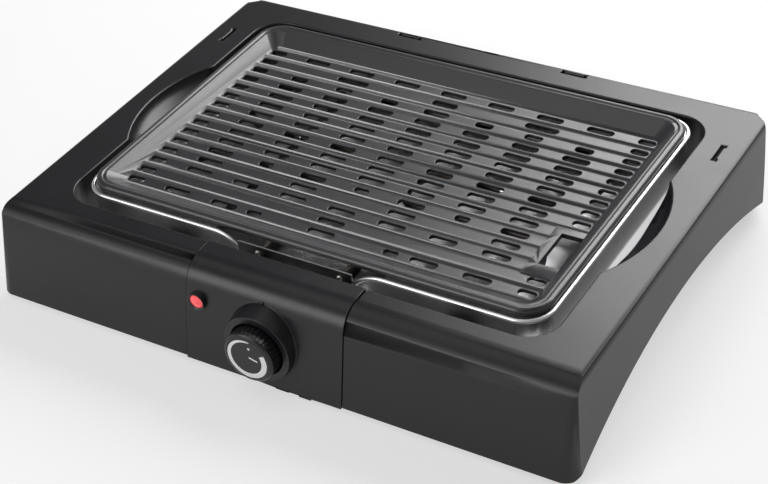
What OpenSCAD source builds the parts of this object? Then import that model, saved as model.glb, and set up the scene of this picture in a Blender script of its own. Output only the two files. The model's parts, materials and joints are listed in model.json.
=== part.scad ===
// Electric table grill with a lift-off plate, a steel drip tray and a removable control unit.
// All sizes are in millimetres. The grill stands on z = 0 and faces -y.

/* [Housing] */
// Inside width of the rectangular hole in the deck
opening_width = 400; // [360:1:430]
// Inside depth of the rectangular hole in the deck
opening_depth = 281; // [250:1:300]
// Corner radius of the hole in the deck
opening_corner = 24; // [15:1:35]
// Width of the deck to the left and to the right of the hole
deck_side = 36; // [30:0.5:50]
// Depth of the deck behind the hole
deck_rear = 27.3; // [24:0.1:40]
// Distance from the hole to the foot of the front face
deck_front = 44.9; // [42:0.1:60]
// Height of the deck above the table
deck_height = 76; // [72:0.5:90]
// Radius of the rolled front edge of the deck
front_roll = 22; // [15:1:26]
// Lean of the front face, in degrees
front_slope = 12.5; // [8:0.5:14]
// Lean of the side walls, in degrees
side_lean = 4.5; // [1:0.1:7]
// Lean of the rear wall, in degrees
rear_lean = 2; // [0.5:0.1:4]
// Radius of the side and rear edges of the deck
edge_round = 5; // [4:0.5:7]
// Radius of the upright corners at the front
front_corner = 13; // [6:0.5:16]
// Radius of the upright corners at the rear
rear_corner = 38; // [25:0.5:45]
// Thickness of the housing walls
wall = 2.6; // [2:0.1:3.2]
// Depth of the skirt around the hole
skirt_depth = 46; // [42:1:56]
// Height of the side arches above the lower edge
arch_height = 34.5; // [15:0.5:36]

/* [Finger recesses] */
// Length of a recess along the hole
recess_length = 117; // [80:1:140]
// Reach of a recess into the deck
recess_reach = 17.3; // [12:0.1:20]
// Depth of a recess at the hole
recess_depth = 17.2; // [12:0.1:20]

/* [Feet] */
// Height of the rubber feet below the housing
foot_height = 4.5; // [4:0.5:8]
// Radius of a rubber foot
foot_radius = 8; // [6:0.5:9]

/* [Grill plate] */
// Step from the middle of the tray's rolled rim to the side of the plate
plate_side_step = 1; // [0.5:0.1:3]
// Step from the middle of the tray's rolled rim to the front and rear of the plate
plate_end_step = 3; // [1:0.1:6]
// Height of the rim above the deck
rim_height = 6.8; // [6.8:0.1:10]
// Radius of the round bead on the rim
rim_bead = 3.2; // [2.6:0.1:3.2]
// Outside corner radius of the plate
plate_corner = 21; // [16:1:28]
// Level of the plate floor below the deck
floor_drop = 3; // [2:0.1:4]
// Thickness of the plate floor
floor_thick = 2.8; // [2.4:0.1:4]
// Distance between two ridges
row_pitch = 14; // [13:0.5:15]
// Distance between two columns of slots
column_pitch = 42; // [40:0.5:44]
// Length of a drain slot
slot_length = 22; // [16:1:26]
// Width of a drain slot
slot_width = 7; // [4:0.5:8]
// Height of a ridge
ridge_height = 1.1; // [0.8:0.1:3]
// Width of a ridge at its foot
ridge_width = 3.6; // [2:0.1:5]

/* [Drip tray] */
// Distance from the side of the hole to the middle of the tray's rolled rim
tray_side_gap = 10; // [8:0.5:16]
// Distance from the front of the hole to the middle of the rolled rim
tray_front_gap = 12.5; // [8:0.5:18]
// Distance from the rear of the hole to the middle of the rolled rim
tray_rear_gap = 8.5; // [7:0.5:14]
// Depth of the tray below the deck
tray_drop = 34; // [30:1:38]
// Thickness of the tray sheet
tray_sheet = 1; // [0.8:0.1:1.5]
// Radius of the rolled rim
tray_bead = 1.7; // [1:0.1:1.8]
// Half width of the notch for the control unit at the rim
notch_half = 70; // [66:1:80]
// Depth of the notch below the deck
notch_drop = 22; // [20:0.5:24]

/* [Control unit] */
// Width of the control unit
control_width = 130; // [124:1:140]
// Gap between the control unit and the housing
control_gap = 0.6; // [0.4:0.1:1]
// Amount by which the control unit stands proud of the housing
control_proud = 0.8; // [0.3:0.1:1.2]
// Wall thickness of the control unit
control_wall = 2.2; // [1.8:0.1:2.6]
// Radius of the knob
knob_radius = 20.2; // [16:0.1:21]
// Distance of the knob centre below the deck
knob_drop = 41.4; // [39:0.1:43]
// Distance of the knob face in front of the foot of the front face
knob_reach = 13; // [9:0.5:16]
// Distance of the pilot light from the side of the control unit
pilot_inset = 10.4; // [9:0.1:18]
// Distance of the pilot light below the deck
pilot_drop = 24.5; // [22:0.5:30]

/* [Heating element] */
// Radius of the tubular element
rod_radius = 3.5; // [3:0.1:4]
// Distance of the element axis below the deck
rod_drop = 14; // [13:0.1:14.5]
// Distance of each element leg from the middle
leg_offset = 34; // [30:0.5:36]

/* [Hidden] */
$fn = 64;
// middle of the hole, and middle of the tray and the plate, along y before the shift
mid_hole = 1;
mid_plate = mid_hole + (tray_front_gap - tray_rear_gap) / 2;
tray_width = opening_width - 2 * tray_side_gap;
tray_depth = opening_depth - tray_front_gap - tray_rear_gap;
plate_width = tray_width - 2 * plate_side_step;
plate_depth = tray_depth - 2 * plate_end_step;
hole_x = opening_width / 2;
hole_front = mid_hole - opening_depth / 2;
hole_rear = mid_hole + opening_depth / 2;
deck_half = hole_x + deck_side;
body_drop = deck_height - foot_height;
base_front = hole_front - deck_front;
deck_back = hole_rear + deck_rear;
base_half = deck_half + body_drop * tan(side_lean);
base_rear = deck_back + body_drop * tan(rear_lean);
roll_y = base_front + (body_drop - front_roll) * tan(front_slope) + front_roll / cos(front_slope);
knob_face = base_front - knob_reach;
shift_y = -(knob_face + base_rear) / 2;
// rest gap between pieces that belong to different moving bodies
rest = 0.3;
// overshoot of a cutter past the surface it cuts
over = 1;
// amount by which the corner prisms stand outside the leaning walls
ease = 0.1;
// skirt and bay
skirt_wall = 2.2;
bay_half = control_width / 2 + control_gap;
cheek = 2.2;
cheek_ledge = 3;
ledge_low = body_drop - 3.7;
ledge_thick = 2.5;
ledge_run = 17;
// front foot of the side arch and its circle
arch_front = base_front + 4;
arch_back = base_rear - 4;
arch_span = (arch_back - arch_front) / 2;
arch_radius = (arch_span * arch_span + arch_height * arch_height) / (2 * arch_height);
// recess circle
recess_circle = (pow(recess_length / 2, 2) + pow(recess_reach, 2)) / (2 * recess_reach);
recess_centre = hole_x + recess_reach - recess_circle;
recess_skin = 2.2;
// slots for a wind guard
guard_half = 74.5;
guard_back = opening_depth / 2 - 35.7;
// shelves for the tray
tray_ledge_x = hole_x - 80;
// plate
plate_x = plate_width / 2;
plate_y = plate_depth / 2;
rim_in_x = plate_x - 2 * rim_bead;
rim_in_y = plate_y - 2 * rim_bead;
floor_x = rim_in_x - 11;
floor_y = rim_in_y - 15.5;
short_slot = 15;
tiny_slot = 12;
edge_slot = 14;
side_slot = 57.5;
edge_column = floor_x - edge_slot / 2 - 0.6;
rows = floor((floor_y - slot_width / 2) / row_pitch);
columns = floor((edge_column - edge_slot / 2 - slot_length / 2) / column_pitch);
// filling window, its distance from the front of the floor, and the land around it
window_size = [16.5, 37.5];
window_x = [floor_x + 1.4 - window_size[0], floor_x + 1.4];
window_y = [38.1 - floor_y, 38.1 - floor_y + window_size[1]];
land_x = window_x[0] - 7;
land_front = window_y[0] - 12.5;
land_back = window_y[1] + 6.5;
// tray
tray_x = tray_width / 2;
tray_y = tray_depth / 2;
tray_skin = 0.8;
tray_round = 10;
tray_corner = 20;
flange = 7;
notch_round = 29.5;
// control unit
control_half = control_width / 2;
control_back = hole_front - 0.2;
control_drop = body_drop + 1;
cover_half = control_half - control_wall - 0.2;
cover_thick = 2.2;
cover_low = body_drop + 0.4;
collar_rim = knob_radius + 6.5;
collar_bore = knob_radius + 1.3;
collar_foot = knob_radius + 9.5;
collar_length = 16;
collar_face = base_front - 1.6;
pocket_depth = 9.6;
pocket_floor = collar_face + pocket_depth;
pocket_skin = 2.4;
bar_front = hole_front + 9.1;
bar_half = 47.5;
sheet = 1.2;
rail_y = hole_front + 26.3;
rail_half = tray_x - 85;
bracket_low = rod_drop + rod_radius + sheet + 0.05;
hook_drop = 16;
leg_start = control_back - 13;
spindle = 3;
// element rows between the ends of the tray, and their bends
run_step = 46;
run_edge = 51;
run = [mid_plate - tray_y + run_edge, mid_plate - tray_y + run_edge + run_step,
  mid_plate - tray_y + run_edge + 2 * run_step, mid_plate + tray_y - run_edge];
turn_x = tray_x - 39 - run_step / 2;
inner_x = leg_offset + 11;
leg_bend = 14;
bar_x = tray_x / 2 - 5;

// screws, rivets and pins
screw_shank = 1.5;
screw_core = 1.48;
foot_screw = 13;
cover_screw = 12;
rivet_shank = 1.2;
rivet_drop = 6.5;
rivet_shift = 3;
pin_radius = 1.2;
pin_length = 13;
hook_screw_x = 20;
hook_screw_drop = bracket_low + hook_drop / 2;
plate_half = 38;
foot_boss = foot_radius + 2.5;
foot_boss_height = 26;
front_foot_x = base_half - foot_boss - 7.5;
front_foot_y = base_front + foot_boss + 10.5;
// the rear bosses stand against the round corner of the wall
rear_foot_in = rear_corner - (rear_corner - wall - foot_boss + 0.6) * sin(45);
rear_foot_x = base_half - rear_foot_in;
rear_foot_y = base_rear - rear_foot_in;
rib_drop = 26;
rib_side = deck_half + 52 * tan(side_lean) - wall / 2;
// inside of the control unit
boss_x = control_half - control_wall - 4;
boss_y = [base_front + 14, control_back - 7];
thermo_screw_x = 10;
thermo_plate = [42, 26];
thermo_front = pocket_floor + pocket_skin + sheet;
mark_turn = 62;
tab_x = [11, 40];
bezel_radius = 7;
lens_radius = 5.2;
pilot_offset = control_half - pilot_inset;
bezel_front = base_front + (body_drop - pilot_drop) * tan(front_slope) - control_proud - 3.1;
plunger_x = control_half - control_wall - 1.5;
plunger_y = control_back - 20;
plunger_drop = 48;
plunger_radius = 1.6;
block_x = control_half - 31;
block_y = control_back - 22;
gland_x = control_half - 39;
gland_y = base_front + 20;
notch_x = 20;
earth_drop = 52;
wire_radius = 1.1;
knob_face_drop = 18;
print_depth = 0.3;

// moves a piece from the deck frame to the table frame
module place() {
  translate([0, shift_y, deck_height]) children();
}

// extrudes a section drawn in y and z along x
module along_x(length) {
  rotate([90, 0, 90]) linear_extrude(height = length, center = true) children();
}

// extrudes a section drawn in x and z along y
module along_y(length) {
  rotate([90, 0, 0]) linear_extrude(height = length, center = true) children();
}

// rectangle with round corners, given by its half sizes
module round_rect(half_x, half_y, radius) {
  square([2 * half_x - 2 * radius, 2 * half_y], center = true);
  square([2 * half_x, 2 * half_y - 2 * radius], center = true);
  for (sx = [-1, 1], sy = [-1, 1])
    translate([sx * (half_x - radius), sy * (half_y - radius)]) circle(r = radius);
}

module round_block(half_x, half_y, radius, low, high) {
  translate([0, 0, low]) linear_extrude(height = high - low) round_rect(half_x, half_y, radius);
}

// horizontal cylinder that points along y, from one y to another
module rod_y(radius, from, to) {
  translate([0, from, 0]) rotate([-90, 0, 0]) cylinder(r = radius, h = to - from);
}

// horizontal cylinder that points along x, from one x to another
module rod_x(radius, from, to) {
  translate([from, 0, 0]) rotate([0, 90, 0]) cylinder(r = radius, h = to - from);
}

// round bar bent along a circle in the plane of the deck
module bend(radius, bar, from, sweep) {
  rotate([0, 0, from]) rotate_extrude(angle = sweep) translate([radius, 0]) circle(r = bar);
}

// ring of round bar along a rectangle with round corners, open at the front over a given half width
module bead_ring(half_x, half_y, corner, bar, open) {
  translate([0, half_y, 0]) rod_x(bar, corner - half_x, half_x - corner);
  for (s = [0, 1]) mirror([s, 0, 0]) {
    translate([0, -half_y, 0]) rod_x(bar, open, half_x - corner);
    translate([half_x, 0, 0]) rod_y(bar, corner - half_y, half_y - corner);
    translate([half_x - corner, half_y - corner, 0]) bend(corner, bar, 0, 90);
    translate([half_x - corner, corner - half_y, 0]) bend(corner, bar, 270, 90);
  }
}

// section of the body in y and z: rolled front edge, flat deck, rounded rear edge
module section_yz(inset, low) {
  roll = front_roll - inset;
  back = edge_round - inset;
  face_low = base_front + (body_drop - low) * tan(front_slope) + inset / cos(front_slope);
  back_y = deck_back + edge_round * tan(rear_lean) - edge_round / cos(rear_lean);
  rear_low = deck_back + low * tan(rear_lean) - inset / cos(rear_lean);
  polygon([
    [face_low, -low],
    [roll_y - roll * cos(front_slope), -front_roll + roll * sin(front_slope)],
    [roll_y, -inset],
    [back_y, -inset],
    [back_y + back * cos(rear_lean), -edge_round + back * sin(rear_lean)],
    [rear_low, -low]
  ]);
  translate([roll_y, -front_roll]) circle(r = roll);
  translate([back_y, -edge_round]) circle(r = back);
}

// section of the body in x and z: rounded side edges and leaning side walls
module section_xz(inset, low) {
  side = edge_round - inset;
  side_x = deck_half + edge_round * tan(side_lean) - edge_round / cos(side_lean);
  side_low = deck_half + low * tan(side_lean) - inset / cos(side_lean);
  polygon([
    [-side_low, -low],
    [-side_x - side * cos(side_lean), -edge_round + side * sin(side_lean)],
    [-side_x, -inset],
    [side_x, -inset],
    [side_x + side * cos(side_lean), -edge_round + side * sin(side_lean)],
    [side_low, -low]
  ]);
  for (s = [-1, 1]) translate([s * side_x, -edge_round]) circle(r = side);
}

// upright prism that rounds the rear corners
module rear_prism(inset, low) {
  radius = rear_corner - inset;
  half = base_half - inset + ease;
  rear = base_rear - inset + ease;
  translate([0, 0, -low - over]) linear_extrude(height = low + 2 * over) {
    translate([-half, base_front - 20]) square([2 * half, rear - radius - base_front + 20]);
    translate([-half + radius, rear - 2 * radius]) square([2 * half - 2 * radius, 2 * radius]);
    for (s = [-1, 1]) translate([s * (half - radius), rear - radius]) circle(r = radius);
  }
}

// prism that leans with the front face and rounds the front corners
module front_prism(inset) {
  radius = front_corner - inset;
  half = base_half - inset + ease;
  front = inset - ease;
  reach = base_rear - base_front + 60;
  translate([0, base_front, -body_drop]) rotate([-front_slope, 0, 0])
    translate([0, 0, -30]) linear_extrude(height = body_drop + 60 + reach * sin(front_slope)) {
      translate([-half + radius, front]) square([2 * half - 2 * radius, reach]);
      translate([-half, front + radius]) square([2 * half, reach]);
      for (s = [-1, 1]) translate([s * (half - radius), front + radius]) circle(r = radius);
    }
}

module body_solid(inset, low) {
  intersection() {
    along_x(2 * base_half + 10) section_yz(inset, low);
    along_y(2 * (base_rear - base_front)) section_xz(inset, low);
    rear_prism(inset, low);
    front_prism(inset);
  }
}

// dish of one finger recess on the right, with its skin thickness as grow
module recess_dish(grow) {
  dip = recess_depth + grow;
  translate([recess_centre, mid_hole, 0]) rotate_extrude() polygon([
    [0, over],
    [recess_circle + grow, over],
    [recess_circle + grow, 0],
    [recess_circle - 0.01 * recess_circle + grow, -0.28 * dip],
    [recess_circle - 0.036 * recess_circle + grow, -0.48 * dip],
    [recess_circle - 0.075 * recess_circle + grow, -0.65 * dip],
    [recess_circle - 0.13 * recess_circle + grow, -0.83 * dip],
    [hole_x - recess_centre, -dip],
    [hole_x - recess_centre - 10, -1.1 * dip],
    [0, -1.1 * dip]
  ]);
}

module mirrored_x() {
  for (s = [0, 1]) mirror([s, 0, 0]) children();
}

module feet_at() {
  for (s = [-1, 1]) {
    translate([s * front_foot_x, front_foot_y]) children();
    translate([s * rear_foot_x, rear_foot_y]) children();
  }
}

// bracket-shaped slot in the deck that holds the end of a wind guard
module guard_slot() {
  length = 21;
  leg = 3.8;
  width = 2.3;
  translate([-width / 2, -length / 2, -wall - over]) {
    cube([width, length, wall + 2 * over]);
    for (end = [0, length - width]) translate([0, end, 0]) cube([leg, width, wall + 2 * over]);
  }
}

// shelf on the inside of the skirt that carries the tray
module tray_ledge() {
  run_in = hole_rear - mid_plate - tray_y + tray_round + 10;
  translate([-12, hole_rear - run_in, -tray_drop - rest - 3]) cube([24, run_in + 1, 3]);
  translate([-1.5, hole_rear - 8, -skirt_depth]) cube([3, 9, skirt_depth - tray_drop - 2]);
}

module housing_shell() {
  difference() {
    body_solid(0, body_drop);
    body_solid(wall, body_drop + over);
    translate([0, mid_hole, 0]) round_block(hole_x, opening_depth / 2, opening_corner, -wall - over, over);
    // arches in the side walls
    translate([0, (arch_front + arch_back) / 2, arch_height - body_drop - arch_radius])
      mirrored_x() rod_x(arch_radius, hole_x + skirt_wall + 2, base_half + 5, $fn = 160);
  }
  // skirt around the hole
  translate([0, mid_hole, 0]) difference() {
    round_block(hole_x + skirt_wall, opening_depth / 2 + skirt_wall, opening_corner + skirt_wall,
      -skirt_depth, -1);
    round_block(hole_x, opening_depth / 2, opening_corner, -skirt_depth - over, over);
  }
}

// ribs between the skirt and the outer walls, and the bosses for the feet
module housing_ribs() {
  inside = 1.5;
  for (s = [-1, 1], x = [hole_x - 140, hole_x - 40])
    translate([s * x - 1, hole_rear + 1, -rib_drop]) cube([2, deck_rear - 1 - inside, rib_drop - 2]);
  for (s = [-1, 1]) translate([s * (hole_x - 50) - 1, hole_front - 20, -rib_drop])
    cube([2, 19, rib_drop - 2]);
  for (s = [-1, 1], y = [40.5 - opening_depth / 2, opening_depth / 2 - 40.5])
    translate([s > 0 ? hole_x + 1 : inside - deck_half, y - 1, -rib_drop])
      cube([deck_side - 1 - inside, 2, rib_drop - 2]);
  translate([0, 0, -body_drop]) linear_extrude(height = foot_boss_height) feet_at() circle(r = foot_boss);
  // webs from the front bosses to the side walls
  for (s = [-1, 1]) translate([s > 0 ? front_foot_x : -rib_side, front_foot_y - 1, -60])
    cube([rib_side - front_foot_x, 2, 14]);
}

module housing() {
  color("#3a3a3e") place() difference() {
    union() {
      housing_shell();
      housing_ribs();
      // skins of the finger recesses
      mirrored_x() intersection() {
        recess_dish(recess_skin);
        translate([hole_x, mid_hole - recess_circle, -2 * recess_depth])
          cube([deck_side - wall, 2 * recess_circle, 2 * recess_depth - 1]);
      }
      // cheeks on both sides of the control unit
      mirrored_x() intersection() {
        translate([bay_half, base_front - 5, -body_drop - 5])
          cube([cheek, hole_front - base_front + 5, body_drop + 10]);
        along_x(control_width * 2) section_yz(0.4, body_drop);
      }
      for (x = [-tray_ledge_x, tray_ledge_x]) {
        translate([x, 0, 0]) tray_ledge();
        translate([x, 2 * mid_hole, 0]) mirror([0, 1, 0]) tray_ledge();
      }
    }
    // hollows of the finger recesses
    mirrored_x() intersection() {
      recess_dish(0);
      translate([hole_x - 5, mid_hole - recess_circle, -2 * recess_depth])
        cube([deck_side, 2 * recess_circle, 3 * recess_depth]);
    }
    // bay for the control unit, open in front, above and below
    translate([-bay_half, base_front - 10, -body_drop - 5])
      cube([2 * bay_half, hole_front - base_front + 10 + skirt_wall, body_drop + 10]);
    // slots for a wind guard
    mirrored_x() translate([hole_x + 17.5, mid_hole + guard_back, 0]) guard_slot();
    for (s = [-1, 1]) translate([s * guard_half, hole_rear + 20.1, 0]) rotate([0, 0, 90]) guard_slot();
    translate([-5.5, hole_rear + 22.9, -wall - over]) cube([11, 1.2, wall + 2 * over]);
    // holes for the foot screws
    translate([0, 0, -body_drop - over]) linear_extrude(height = foot_screw + over) feet_at()
      circle(r = screw_core);
  }
  color("#3a3a3e") place() mirrored_x() cheek_shelf();
}

// shelf on a cheek that carries the control unit
module cheek_shelf() {
  translate([bay_half - cheek_ledge, hole_front - ledge_run - 3, -ledge_low - ledge_thick])
    cube([cheek_ledge + cheek, ledge_run, ledge_thick]);
}

module foot_shape() {
  color("#1d1d1f") translate([0, 0, -deck_height]) difference() {
    cylinder(r = foot_radius, h = foot_height);
    translate([0, 0, -over]) cylinder(r = 3.6, h = over + foot_height - 1.8);
    translate([0, 0, -over]) cylinder(r = 1.8, h = foot_height + 2 * over);
  }
}
module foot_front_left() { place() translate([-front_foot_x, front_foot_y]) foot_shape(); }
module foot_front_right() { place() translate([front_foot_x, front_foot_y]) foot_shape(); }
module foot_rear_left() { place() translate([-rear_foot_x, rear_foot_y]) foot_shape(); }
module foot_rear_right() { place() translate([rear_foot_x, rear_foot_y]) foot_shape(); }

// pan head screw that points up, with its head below z = 0
module screw_up(shank, length, head) {
  cylinder(r = shank, h = length);
  difference() {
    translate([0, 0, -1.4]) cylinder(r = head, h = 1.4);
    translate([-0.4, -head * 0.7, -1.5]) cube([0.8, head * 1.4, 0.7]);
    translate([-head * 0.7, -0.4, -1.5]) cube([head * 1.4, 0.8, 0.7]);
  }
}

module foot_screws() {
  color("#b9bbbd") place() translate([0, 0, -body_drop - 1.8]) feet_at()
    screw_up(screw_shank, foot_screw, 3.2);
}

// outline of the tray, drawn smaller by inset, with rounded lower edges
module tray_body(inset, top) {
  half_x = tray_x - tray_skin - inset;
  half_y = tray_y - tray_skin - inset;
  bottom = tray_drop - inset;
  radius = tray_round - inset;
  intersection() {
    along_y(3 * tray_y) tray_section(half_x, bottom, radius, top);
    along_x(3 * tray_x) tray_section(half_y, bottom, radius, top);
    round_block(half_x, half_y, tray_corner - inset, -bottom - over, top);
  }
}

module tray_section(half, bottom, radius, top) {
  translate([-half, radius - bottom]) square([2 * half, bottom - radius + top]);
  translate([radius - half, -bottom]) square([2 * half - 2 * radius, bottom]);
  for (s = [-1, 1]) translate([s * (half - radius), radius - bottom]) circle(r = radius);
}

// area of the front notch drawn in x and z, with rounded shoulders
module notch_area(shrink) {
  difference() {
    translate([-notch_half, -notch_drop + shrink]) square([2 * notch_half, notch_drop + 5]);
    for (s = [-1, 1]) translate([s * notch_half, -notch_round]) circle(r = notch_round + shrink);
  }
}

module drip_tray() {
  shoulder = acos((notch_round - notch_drop) / notch_round);
  foot_x = notch_half - notch_round * sin(shoulder);
  color("#c9cbce") place() translate([0, mid_plate, 0]) {
    difference() {
      union() {
        difference() {
          tray_body(0, 0);
          tray_body(tray_sheet, over);
        }
        difference() {
          round_block(tray_x - tray_skin, tray_y - tray_skin, tray_corner, -tray_sheet, 0);
          round_block(tray_x - flange, tray_y - flange - 2, tray_corner - flange, -2, over);
        }
      }
      translate([0, -tray_y + 2, 0]) along_y(24) notch_area(-0.5);
    }
    bead_ring(tray_x, tray_y, tray_corner + tray_skin, tray_bead, notch_half);
    // rolled edge along the notch
    translate([0, -tray_y, 0]) {
      for (s = [0, 1]) mirror([s, 0, 0]) translate([notch_half, 0, -notch_round]) rotate([90, 0, 0])
        bend(notch_round, tray_bead, 90, shoulder);
      translate([0, 0, -notch_drop]) rod_x(tray_bead, -foot_x, foot_x);
    }
  }
}

// drain slot cut through the floor
module slot(x, y, length) {
  translate([x, y]) {
    square([length - slot_width, slot_width], center = true);
    for (s = [-1, 1]) translate([s * (length - slot_width) / 2, 0]) circle(r = slot_width / 2, $fn = 24);
  }
}

// drain slots of the plate; the last row is at the rear, the first at the front
module slots() {
  middle = [-columns : columns];
  for (r = [-rows : rows]) {
    y = r * row_pitch;
    full = r == rows || (r <= rows - 3 && r >= 5 - rows) || r == 2 - rows;
    slot(-edge_column, y, edge_slot);
    if (y - slot_width / 2 > land_back || y + slot_width / 2 < land_front) slot(edge_column, y, edge_slot);
    if (full) for (c = middle) slot(c * column_pitch, y, slot_length);
    if (r == rows - 1) {
      slot(0, y, slot_length);
      for (c = [1 - columns, columns - 1]) slot(c * column_pitch, y, slot_length + 6);
    }
    if (r == rows - 2) for (c = middle) slot(c * column_pitch, y, c == 0 ? slot_length : short_slot);
    if (r == 4 - rows) for (c = middle)
      slot(c * column_pitch, y, (c + columns) % 2 == 0 ? slot_length : tiny_slot);
    if (r == 3 - rows) for (c = [-columns : 2 : columns]) slot(c * column_pitch, y, slot_length);
    if (r == 1 - rows) slot(0, y, slot_length);
    if (r == -rows) {
      for (c = middle) if (abs(c) != 1) slot(c * column_pitch, y, slot_length);
      for (side = [-1, 1]) slot(side * side_slot, y, tiny_slot);
    }
  }
}

// four-sided solid that widens upwards, from half sizes at low to half sizes at high
module flared(low_x, low_y, low, high_x, high_y, high) {
  intersection() {
    along_y(3 * plate_y) polygon([[-low_x, low], [low_x, low], [high_x, high], [-high_x, high]]);
    along_x(3 * plate_x) polygon([[-low_y, low], [low_y, low], [high_y, high], [-high_y, high]]);
  }
}

module ridge(from, to) {
  foot = ridge_width / 2;
  crest = ridge_width / 5;
  translate([(from + to) / 2, 0, -floor_drop]) along_x(to - from)
    polygon([[-foot, -0.5], [foot, -0.5], [foot, 0],
      [crest, ridge_height], [-crest, ridge_height], [-foot, 0]]);
}

module grill_plate() {
  under = floor_drop + floor_thick;
  slope_x = (rim_in_x - floor_x) / (rim_height + floor_drop);
  slope_y = (rim_in_y - floor_y) / (rim_height + floor_drop);
  rim_mid = rim_height - rim_bead;
  lift = rim_height + over;
  color("#2f2f33") place() translate([0, mid_plate, 0]) difference() {
    union() {
      difference() {
        union() {
          flared(floor_x + 1.5, floor_y - 2.5, -under, floor_x + 10.5, floor_y + 16, rim_mid);
          difference() {
            round_block(plate_x - 2.2, plate_y - 2.2, plate_corner - 2.2, rest, rim_height - 1);
            translate([0, 0, -over]) round_block(floor_x - 4, floor_y - 4, 3, 0, rim_height + over);
          }
        }
        flared(floor_x, floor_y, -floor_drop,
          floor_x + slope_x * (lift + floor_drop), floor_y + slope_y * (lift + floor_drop), lift);
      }
      translate([0, 0, rim_mid])
        bead_ring(plate_x - rim_bead, plate_y - rim_bead, plate_corner - rim_bead, rim_bead, 0);
      // ridges between the rows of slots
      intersection() {
        union() {
          for (r = [-rows - 1 : rows]) {
            y = (r + 0.5) * row_pitch;
            to = y > land_front && y < land_back ? land_x : floor_x + 3;
            translate([0, y, 0]) ridge(-floor_x - 3, to);
          }
          // raised land around the filling window
          translate([land_x, land_front, -floor_drop - 0.5])
            cube([floor_x + 3 - land_x, land_back - land_front, ridge_height + 0.5]);
        }
        flared(floor_x + 1, floor_y + 1, -floor_drop - 1, floor_x + 5, floor_y + 6, over);
      }
    }
    translate([0, 0, -under - over]) linear_extrude(height = under + over) slots();
    translate([window_x[0], window_y[0], -under - over])
      cube([window_x[1] - window_x[0], window_y[1] - window_y[0], under + 2 * over]);
  }
}

// half of the tubular element, on the right
module element_half() {
  leg_y = run[0] - leg_bend;
  r1 = (run[1] - run[0]) / 2;
  r2 = (run[2] - run[1]) / 2;
  r3 = (run[3] - run[2]) / 2;
  turn3 = turn_x + r1 - r3;
  translate([leg_offset, 0, 0]) rod_y(rod_radius, leg_start, leg_y);
  translate([leg_offset + leg_bend, leg_y, 0]) bend(leg_bend, rod_radius, 90, 90);
  translate([0, run[0], 0]) rod_x(rod_radius, leg_offset + leg_bend, turn_x);
  translate([turn_x, run[0] + r1, 0]) bend(r1, rod_radius, -90, 180);
  translate([0, run[1], 0]) rod_x(rod_radius, inner_x, turn_x);
  translate([inner_x, run[1] + r2, 0]) bend(r2, rod_radius, 90, 180);
  translate([0, run[2], 0]) rod_x(rod_radius, inner_x, turn3);
  translate([turn3, run[2] + r3, 0]) bend(r3, rod_radius, -90, 180);
  translate([0, run[3], 0]) rod_x(rod_radius, 0, turn3);
}

module heating_element() {
  color("#6d6f73") place() translate([0, 0, -rod_drop]) mirrored_x() element_half();
}

module element_seals() {
  color("#e6e2d8") place() translate([0, 0, -rod_drop]) mirrored_x() translate([leg_offset, 0, 0])
    difference() {
      rod_y(rod_radius + 0.8, leg_start - 5, leg_start);
      rod_y(pin_radius, leg_start - 6, leg_start + 1);
    }
}

module element_pins() {
  color("#d8b25a") place() translate([0, 0, -rod_drop]) mirrored_x() translate([leg_offset, 0, 0])
    rod_y(pin_radius, leg_start - pin_length, leg_start);
}

// bent sheet that carries the element over the notch of the tray
module heater_bracket() {
  color("#d5d7d9") place() difference() {
    union() {
      translate([-bar_half, bar_front, -bracket_low]) cube([2 * bar_half, sheet, bracket_low - 0.5]);
      translate([-plate_half, bar_front, -bracket_low])
        cube([2 * plate_half, rail_y + sheet - bar_front, sheet]);
      translate([-bar_half, control_back, -bracket_low])
        cube([2 * bar_half, bar_front - control_back + 1, sheet]);
      translate([-bar_half, control_back, -bracket_low - hook_drop])
        cube([2 * bar_half, sheet, hook_drop + 1]);
    }
    translate([0, 0, -rod_drop]) for (s = [-1, 1]) translate([s * leg_offset, 0, 0])
      rod_y(rod_radius + 0.15, bar_front - over, bar_front + 3);
    for (s = [-1, 1]) {
      translate([s * leg_offset + rivet_shift, 0, -rivet_drop])
        rod_y(rivet_shank, bar_front - over, bar_front + sheet + over);
      translate([s * hook_screw_x, 0, -hook_screw_drop])
        rod_y(screw_shank + 0.1, control_back - over, control_back + sheet + over);
    }
  }
}

module bracket_rivets() {
  color("#e2e3e4") place() for (s = [-1, 1]) translate([s * leg_offset + rivet_shift, 0, -rivet_drop]) {
    intersection() {
      translate([0, bar_front + 0.9, 0]) sphere(r = 2.4);
      rod_y(3, bar_front - 3, bar_front);
    }
    rod_y(rivet_shank, bar_front - 0.01, bar_front + sheet);
    rod_y(1.9, bar_front + sheet, bar_front + sheet + 0.8);
  }
}

module element_rail() {
  color("#d9dadc") place() difference() {
    union() {
      translate([-rail_half, rail_y, -bracket_low + sheet])
        cube([2 * rail_half, sheet, bracket_low - sheet - 5]);
      for (s = [-1, 1]) translate([s * bar_x - 5, rail_y, -bracket_low + sheet]) cube([10, 9, 1]);
    }
    for (s = [-1, 1]) translate([s * leg_offset, 0, -rod_drop])
      rod_y(rod_radius + 0.15, rail_y - over, rail_y + sheet + over);
  }
}

// flat bars below the element with a foot on the tray floor
module element_supports() {
  color("#c2c4c7") place() for (s = [-1, 1]) translate([s * bar_x - 4, 0, 0]) {
    translate([0, rail_y, -bracket_low]) cube([8, run[3] + 9 - rail_y, sheet]);
    translate([0, run[3] + 9 - sheet, -tray_drop + tray_sheet + rest])
      cube([8, sheet, tray_drop - tray_sheet - rest - bracket_low + sheet]);
    translate([0, run[3] + 9 - 8, -tray_drop + tray_sheet + rest]) cube([8, 8, sheet]);
  }
}

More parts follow.
